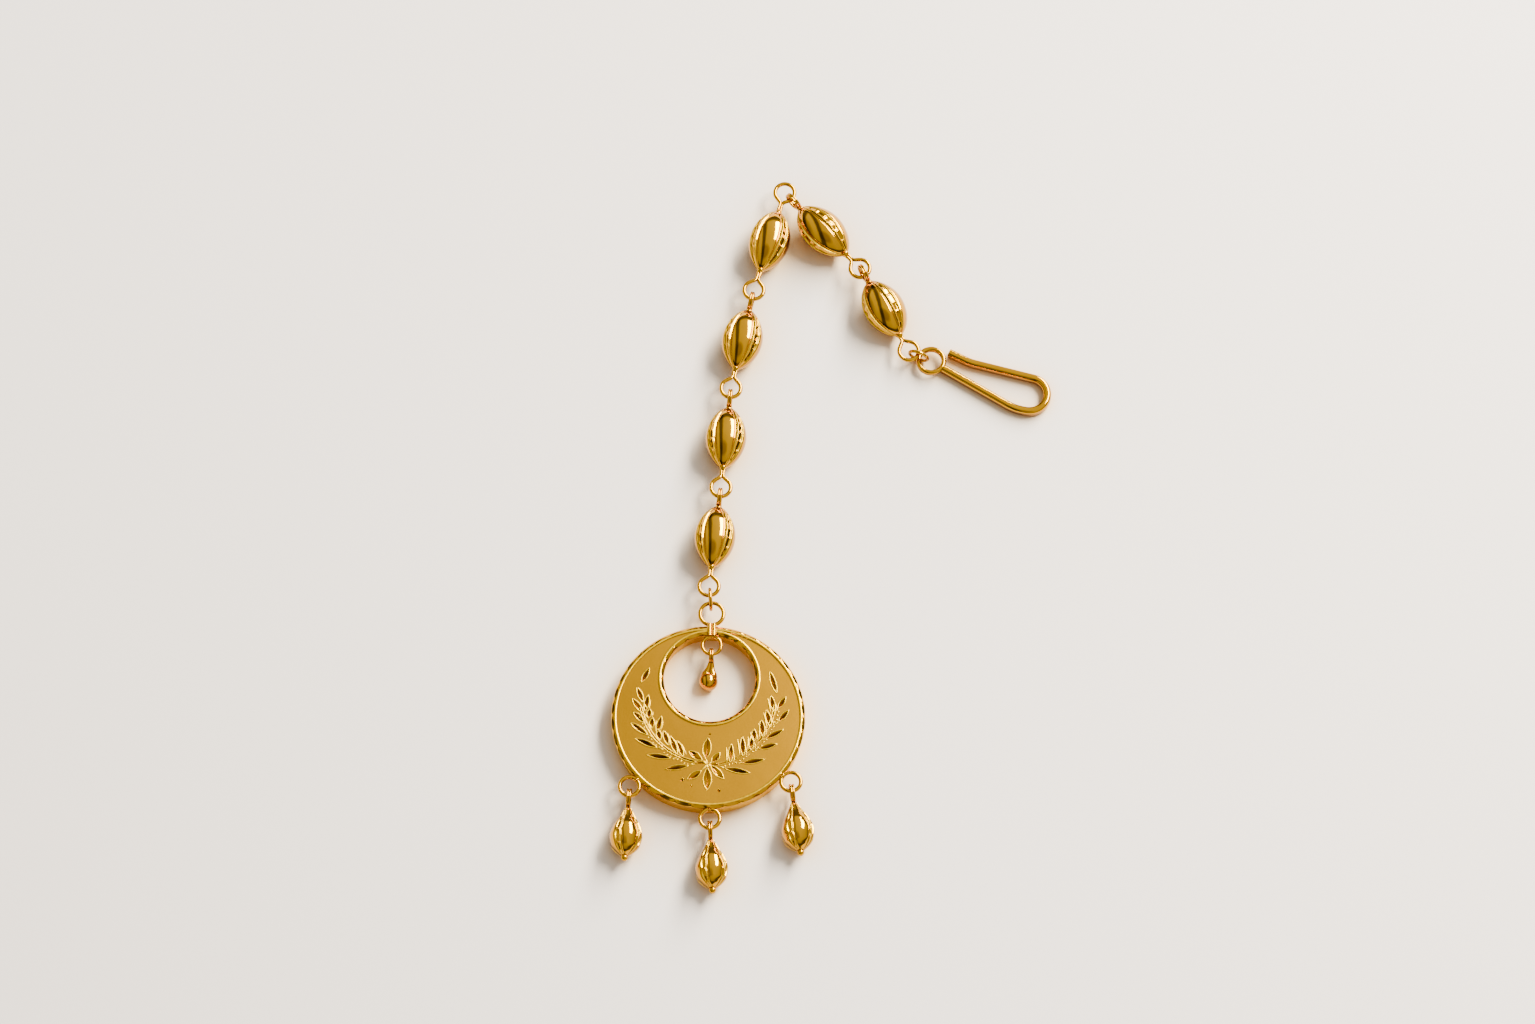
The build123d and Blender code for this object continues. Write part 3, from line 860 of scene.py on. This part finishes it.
def make_rim(name, edge_radius, inwards, centre_x, centre_y, cuts, seed):
    """A bevel of flat wheel cuts that meet in raised bright cusps, and the line beside it.

    Inwards is the way from the edge onto the plate: -1 on the disc, 1 round the hole.
    """
    rng = random.Random(seed)
    leans = [rng.uniform(-1, 1) for _ in range(cuts)]
    shifts = [rng.uniform(-CUSP_SHIFT, CUSP_SHIFT) for _ in range(cuts)]
    line_edge = edge_radius + inwards * BEVEL_WIDTH
    plate_edge = line_edge + inwards * RIM_LINE_WIDTH
    top = PLATE_TOP + RIM_HEIGHT + RIM_SKIN
    low = top - BEVEL_DROP
    line = beside(plate_edge, inwards, top, LINE_BESIDE_PLATE)
    line += beside(line_edge, inwards, top, LINE_BESIDE_BEVEL)
    foot = beside(edge_radius, inwards, low, FOOT)
    rows = []
    for index in range(cuts * STEPS_PER_CUT):
        cut = index // STEPS_PER_CUT
        t = (index % STEPS_PER_CUT + 0.5) / STEPS_PER_CUT * 2 - 1
        cusp = abs(t - shifts[cut] * (1 - t * t)) ** CUSP_SHARPNESS
        bevel = []
        for part in BEVEL_PARTS:
            bulge = math.sin(math.pi * part) ** BULGE_ROUNDNESS
            across = BEVEL_START + (BEVEL_WIDTH - BEVEL_START) * part
            height = top + BEVEL_RISE - BEVEL_DROP / BEVEL_WIDTH * across
            height += bulge * (CUSP_HEIGHT * cusp + CUT_LEAN * leans[cut] * t)
            bevel.append((line_edge - inwards * across, height))
        angle = 360 * index / (cuts * STEPS_PER_CUT)
        rows.append([(*polar(radius, angle), height) for radius, height in line + bevel + foot])
    shape = Shape()
    matrix = place(centre_x, centre_y, 0)
    shape.grid(rows, closed_rows=False, closed_ends=True, matrix=matrix, edges=LINE_COLUMNS)
    if inwards < 0:
        shape.faces = [tuple(reversed(face)) for face in shape.faces]
    new_piece(name, shape, CUT)


# ---- The raised edges that the graver leaves along each cut of the sprays and flower ----
# A leaf is one cut beside a curved stem: how far along the stem its root is, how far
# outside the stem's arc, how much it leans outwards from the stem's way, and its length.
Leaf = namedtuple("Leaf", "along offset lean length")
LEFT_LEAVES = (
    Leaf(0.10, 0.65, 25, 2.7),
    Leaf(0.31, 0.6, 23, 2.8),
    Leaf(0.50, 0.55, 21, 2.8),
    Leaf(0.68, 0.4, 21, 2.5),
    Leaf(0.81, -0.1, 24, 2.1),
    Leaf(0.94, -0.2, 21, 2.3),
    Leaf(1.08, -0.4, 17, 2.0),
    Leaf(1.33, 0.0, -14, 2.0),
    Leaf(0.19, -0.3, -46, 2.1),
    Leaf(0.27, -0.25, -41, 2.4),
    Leaf(0.42, -0.6, -32, 1.9),
    Leaf(0.54, -0.4, -27, 1.4),
    Leaf(0.64, -0.6, -50, 2.2),
    Leaf(0.72, -0.35, -35, 1.4),
    Leaf(0.86, -0.6, -26, 1.2),
    Leaf(0.96, -0.45, -23, 2.1),
)
RIGHT_LEAVES = (
    Leaf(0.06, 0.6, 28, 3.0),
    Leaf(0.25, 0.8, 20, 2.6),
    Leaf(0.48, 0.55, 30, 2.2),
    Leaf(0.62, 0.4, 27, 2.3),
    Leaf(0.85, 0.8, 21, 1.8),
    Leaf(0.99, 0.35, 23, 1.7),
    Leaf(1.17, 0.1, -13, 2.8),
    Leaf(0.14, 0.1, -66, 2.3),
    Leaf(0.30, 0.1, -60, 2.4),
    Leaf(0.41, 0.1, -48, 1.9),
    Leaf(0.51, -0.5, -42, 1.5),
    Leaf(0.62, 0.0, -41, 2.1),
    Leaf(0.76, 0.15, -38, 2.2),
    Leaf(0.95, -0.05, -23, 2.0),
)

# A blade is a short bright stroke beside an inner leaf: how far to its left it starts,
# its length as a share of the leaf's, and its width.
Blade = namedtuple("Blade", "offset share width")
Spray = namedtuple("Spray", "centre_x centre_y radius start_angle sweep leaves blades")
LEFT_BLADES = (Blade(-0.42, 0.7, 0.17),)
RIGHT_BLADES = (Blade(0.43, 0.85, 0.24), Blade(-0.42, 0.5, 0.17))
SPRAYS = (
    Spray(0.25, 2.45, 8.4, -100.0, -70.0, LEFT_LEAVES, LEFT_BLADES),
    Spray(-0.6, 2.4, 8.65, -78.0, 70.0, RIGHT_LEAVES, RIGHT_BLADES),
)
Petal = namedtuple("Petal", "x y heading length width")
FLOWER = (
    Petal(-0.15, -4.0, 85, 2.6, 0.9),
    Petal(-0.1, -7.85, 90, 2.7, 0.9),
    Petal(-1.5, -4.9, 143, 1.9, 0.7),
    Petal(-1.65, -7.35, 32, 1.9, 0.7),
    Petal(0.9, -5.15, 51, 1.5, 0.7),
    Petal(1.1, -7.0, 132, 2.2, 0.7),
)
ENGRAVING_SEED = 5

# The ridge's cross-section goes through these angles; a stroke's tips are slimmer.
EDGE_HEIGHT = 0.06
EDGE_WIDTH = 0.14
EDGE_ANGLES = (-20, 20, 55, 90, 125, 160, 200)
STROKE_STEPS = 8
STROKE_TIP = 0.25

LEAF_WIDTH = 0.52

# An outline runs outside its cut by this share of the ridge's width, and reaches this
# share of the cut's length to each side of its middle.
OUTLINE_STEPS = 18
OUTLINE_MARGIN = 0.3
OUTLINE_REACH = 0.52

# The tail of an outer leaf, and how far a blade may shift and turn at random.
TAIL_TURN = 8
TAIL_LENGTH = 0.85
TAIL_WIDTH = 0.2
BLADE_SHIFT = (-0.1, 0.2)
BLADE_TURN = (-4, 4)

# The stem's two edges, this share of its width from its middle, and the dots beside it:
# their first place and sweep as shares of the stem's, and the ranges of their distances,
# turns and lengths.
STEM_INSET = 0.08
STEM_WIDTH = 0.22
STEM_EDGE_SHARE = 0.62
STEM_SWEEP = 1.02
STEM_STEPS = 60
STEM_DOTS = 22
FIRST_DOT = 0.06
DOTS_SWEEP = 0.92
DOT_DISTANCE = (0.18, 0.42)
DOT_TURN = (10, 70)
DOT_LENGTH = (0.2, 0.34)
DOT_WIDTH = 0.17
PETAL_ROOT_WIDTH = 0.3


def add_ridge(shape, points, closed, width=EDGE_WIDTH, pointed=False):
    """A low rounded ridge that follows points on top of the plate."""
    rows = []
    for i, point in enumerate(points):
        before, after = neighbours(points, i, closed)
        ahead = (after - before).normalized()
        left = Vector((-ahead.y, ahead.x, 0))
        full = 1.0
        if pointed:
            full = STROKE_TIP + (1 - STROKE_TIP) * math.sin(math.pi * i / (len(points) - 1))
        row = []
        for angle in EDGE_ANGLES:
            out, up = polar(1, angle)
            here = point + left * (width * full / 2 * out)
            row.append((here.x, here.y, PLATE_TOP + EDGE_HEIGHT * full * up))
        rows.append(row)
    shape.grid(rows, closed_ends=closed, matrix=place(0, 0, 0))


def add_stroke(shape, start, heading, length, width):
    """A short pointed ridge thrown up by the graver."""
    ahead, _ = ahead_and_left(heading)
    line = [start + ahead * (length * step / STROKE_STEPS) for step in range(STROKE_STEPS + 1)]
    add_ridge(shape, line, False, width, True)


def add_outline(shape, x, y, heading, length, width):
    """The ridge round a boat-shaped cut."""
    ahead, left = ahead_and_left(heading)
    points = []
    for side in (1, -1):
        for step in range(OUTLINE_STEPS):
            t = (step / OUTLINE_STEPS * 2 - 1) * side
            reach = (width / 2 + EDGE_WIDTH * OUTLINE_MARGIN) * (1 - t * t) * side
            middle = Vector((x, y, 0))
            points.append(middle + ahead * (t * length * OUTLINE_REACH) + left * reach)
    add_ridge(shape, points, True)


def on_spray(spray, reach, angle):
    """The place at a reach from the middle of a spray's arc."""
    x, y = polar(reach, angle)
    return Vector((spray.centre_x + x, spray.centre_y + y, 0))


def add_leaves(shape, spray, side, rng):
    """Each leaf's outline, the outer leaves' tails and the inner leaves' blades."""
    for leaf in spray.leaves:
        angle = spray.start_angle + leaf.along * spray.sweep
        heading = angle + side * (90 - leaf.lean)
        ahead, left = ahead_and_left(heading)
        root = on_spray(spray, spray.radius + leaf.offset, angle)
        middle = root + ahead * (leaf.length / 2)
        add_outline(shape, middle.x, middle.y, heading, leaf.length, LEAF_WIDTH)
        if leaf.lean > 0:
            add_stroke(shape, root, heading + 180 - side * TAIL_TURN, TAIL_LENGTH, TAIL_WIDTH)
        elif leaf.along <= 1:
            for blade in spray.blades:
                start = root + left * blade.offset + ahead * rng.uniform(*BLADE_SHIFT)
                turned = heading + rng.uniform(*BLADE_TURN)
                add_stroke(shape, start, turned, leaf.length * blade.share, blade.width)


def add_stem(shape, spray, side, rng):
    """Two edges along the stem, and a row of short dots on its outer side."""
    for offset in (-STEM_WIDTH * STEM_EDGE_SHARE, STEM_WIDTH * STEM_EDGE_SHARE):
        reach = spray.radius - STEM_INSET + offset
        line = []
        for step in range(STEM_STEPS + 1):
            angle = spray.start_angle + spray.sweep * STEM_SWEEP * step / STEM_STEPS
            line.append(on_spray(spray, reach, angle))
        add_ridge(shape, line, False)
    for index in range(STEM_DOTS):
        angle = spray.start_angle + spray.sweep * (FIRST_DOT + DOTS_SWEEP * index / STEM_DOTS)
        start = on_spray(spray, spray.radius + rng.uniform(*DOT_DISTANCE), angle)
        heading = angle + side * rng.uniform(*DOT_TURN)
        add_stroke(shape, start, heading, rng.uniform(*DOT_LENGTH), DOT_WIDTH)


def add_flower(shape):
    """Each petal's outline, and a stroke from its inner tip to the flower's middle."""
    centre = Vector((FLOWER_X, FLOWER_Y, 0))
    for petal in FLOWER:
        add_outline(shape, *petal)
        reach_x, reach_y = polar(petal.length / 2, petal.heading)
        tips = [Vector((petal.x + s * reach_x, petal.y + s * reach_y, 0)) for s in (1, -1)]
        inner_tip = min(tips, key=lambda tip: (tip - centre).length)
        inwards = centre - inner_tip
        heading = math.degrees(math.atan2(inwards.y, inwards.x))
        add_stroke(shape, inner_tip, heading, inwards.length, PETAL_ROOT_WIDTH)


def make_cut_edges():
    """One piece of all the ridges; side is 1 where a spray runs to the right."""
    rng = random.Random(ENGRAVING_SEED)
    shape = Shape()
    for spray in SPRAYS:
        side = 1 if spray.sweep > 0 else -1
        add_leaves(shape, spray, side, rng)
        add_stem(shape, spray, side, rng)
    add_flower(shape)
    new_piece("engraving_edges", shape, EDGE)


make_links()
make_drops()
make_ball()
make_rim("bright_cut_outer_rim", PENDANT_RADIUS, -1, 0, 0, cuts=36, seed=7)
make_rim("bright_cut_inner_rim", HOLE_RADIUS, 1, HOLE_X, HOLE_Y, cuts=18, seed=8)
make_cut_edges()


def dress(name, material):
    mesh = nodes[name].data
    mesh.materials.clear()
    mesh.materials.append(material)
    for polygon in mesh.polygons:
        polygon.material_index = 0


for name in nodes:
    dress(name, PENDANT if name == "pendant" else BRIGHT)


# ---- Floor ----
FLOOR_HALF = 3.0
PAPER = (0.775, 0.70, 0.615)
PAPER_DEEP = (0.76, 0.685, 0.595)
FAR_SHADE = (0.45, 0.45, 0.46)

# Painted bounce light: the floor's colour warms within this many millimetres of the gold.
PAINTED_GLOW = (1, 0.72, 0.3)
GLOW_DISTANCE = 6


def floor_paper():
    """Pale paper: clouds, fibres, painted warm bounce light near the gold, and darker far away."""
    material, tree, shader = new_material("pale_floor")
    where = coordinates(tree, "Object")
    clouds = noise(tree, where, scale=6.0, detail=2.0)
    tint = ramp(tree, clouds, (0.3, PAPER_DEEP), (0.7, PAPER))
    reach = add(tree, "ShaderNodeVectorMath", operation="LENGTH")
    tree.links.new(where, reach.inputs[0])
    far = ramp(tree, reach.outputs["Value"], (0.25, WHITE), (0.9, FAR_SHADE))
    openness = add(tree, "ShaderNodeAmbientOcclusion", samples=6)
    openness.inputs["Distance"].default_value = GLOW_DISTANCE * MM
    # Painted bounce light: where the gold hems the floor in, its colour turns warm.
    glow = ramp(tree, openness.outputs["AO"], (0.35, PAINTED_GLOW), (0.97, WHITE))
    paper = times_colour(tree, times_colour(tree, tint, far), glow)
    tree.links.new(paper, shader.inputs["Base Color"])
    shader.inputs["Roughness"].default_value = 0.75
    fibres = noise(tree, where, scale=900.0, detail=4.0, roughness=0.6)
    normal = bump(tree, fibres, distance=0.03 * MM, strength=0.25)
    tree.links.new(normal, shader.inputs["Normal"])
    return material


def make_floor():
    mesh = bpy.data.meshes.new("floor")
    corners = [(x * FLOOR_HALF, y * FLOOR_HALF, 0) for x, y in ((-1, -1), (1, -1), (1, 1), (-1, 1))]
    mesh.from_pydata(corners, [], [(0, 1, 2, 3)])
    floor = bpy.data.objects.new("floor", mesh)
    mesh.materials.append(floor_paper())
    bpy.context.scene.collection.objects.link(floor)


# ---- Light ----
# The room's colour by height, from the horizon up to the ceiling.
ROOM_HEIGHTS = (
    (0.0, (0.15, 0.142, 0.134)),
    (0.25, (0.17, 0.16, 0.15)),
    (0.36, (1.0, 0.98, 0.95)),
    (1.0, (0.95, 0.93, 0.9)),
)

# Its brightness from left to right: upright stripes give the gold dark reflections.
ROOM_STRIPES = (
    (0.03, 0.45),
    (0.12, 1.4),
    (0.22, 1.35),
    (0.26, 0.2),
    (0.35, 0.2),
    (0.4, 1.1),
    (0.66, 1.2),
    (0.9, 0.85),
    (0.97, 0.5),
)
ROOM_STRENGTH = 1.15
CAMERA_SIDE = (0.5, 0.48, 0.46)

# The key light is aimed near the middle of the ornament.
AIM_X = 7
AIM_Y = 22


def facing(tree, direction, azimuth, elevation):
    """How nearly a direction points towards an azimuth and elevation."""
    dot = add(tree, "ShaderNodeVectorMath", operation="DOT_PRODUCT")
    tree.links.new(direction, dot.inputs[0])
    dot.inputs[1].default_value = sky_direction(azimuth, elevation)
    return dot.outputs["Value"]


def make_world():
    """A room: dark near the horizon and behind the camera, brightest towards a window."""
    world = bpy.data.worlds.new("studio")
    bpy.context.scene.world = world
    world.use_nodes = True
    tree = world.node_tree
    background = tree.nodes["Background"]
    direction = coordinates(tree, "Generated")
    split = parts(tree, direction)
    height = ramp(tree, split["Z"], *ROOM_HEIGHTS)
    sideways = math_node(tree, "MULTIPLY_ADD", split["X"], 0.5, 0.5)
    stripes = ramp(tree, sideways, *[(position, grey(value)) for position, value in ROOM_STRIPES])
    towards_camera = facing(tree, direction, azimuth=250, elevation=60)
    spot = ramp(tree, towards_camera, (0.9, WHITE), (0.965, CAMERA_SIDE))
    room = times_colour(tree, times_colour(tree, height, stripes), spot)
    towards_window = facing(tree, direction, azimuth=45, elevation=25)
    window = math_node(tree, "MULTIPLY_ADD", towards_window, 0.4, 0.8)
    lit = add(tree, "ShaderNodeVectorMath", operation="SCALE")
    tree.links.new(room, lit.inputs[0])
    tree.links.new(window, lit.inputs["Scale"])
    tree.links.new(lit.outputs[0], background.inputs["Color"])
    background.inputs["Strength"].default_value = ROOM_STRENGTH


def strip_light(name, azimuth, elevation, distance, sizes, along, power, colour):
    """A long soft light, aimed at the ornament; along is its long direction."""
    light = bpy.data.lights.new(name, "AREA")
    light.shape = "RECTANGLE"
    light.size, light.size_y = sizes
    light.energy = power
    light.color = colour
    lamp = bpy.data.objects.new(name, light)
    bpy.context.scene.collection.objects.link(lamp)
    towards = sky_direction(azimuth, elevation)
    long_way = Vector(along)
    long_way = (long_way - towards * long_way.dot(towards)).normalized()
    short_way = long_way.cross(towards)
    turned = Matrix((short_way, long_way, towards)).transposed().to_4x4()
    aim = Vector((CENTRE_X + AIM_X, CENTRE_Y + AIM_Y, 0)) * MM
    lamp.matrix_world = Matrix.Translation(aim + towards * distance) @ turned


make_floor()
make_world()
strip_light(
    "key",
    azimuth=46,
    elevation=40,
    distance=0.6,
    sizes=(0.17, 0.62),
    along=(0.18, -0.8, 0.57),
    power=24,
    colour=(1.0, 0.965, 0.92),
)
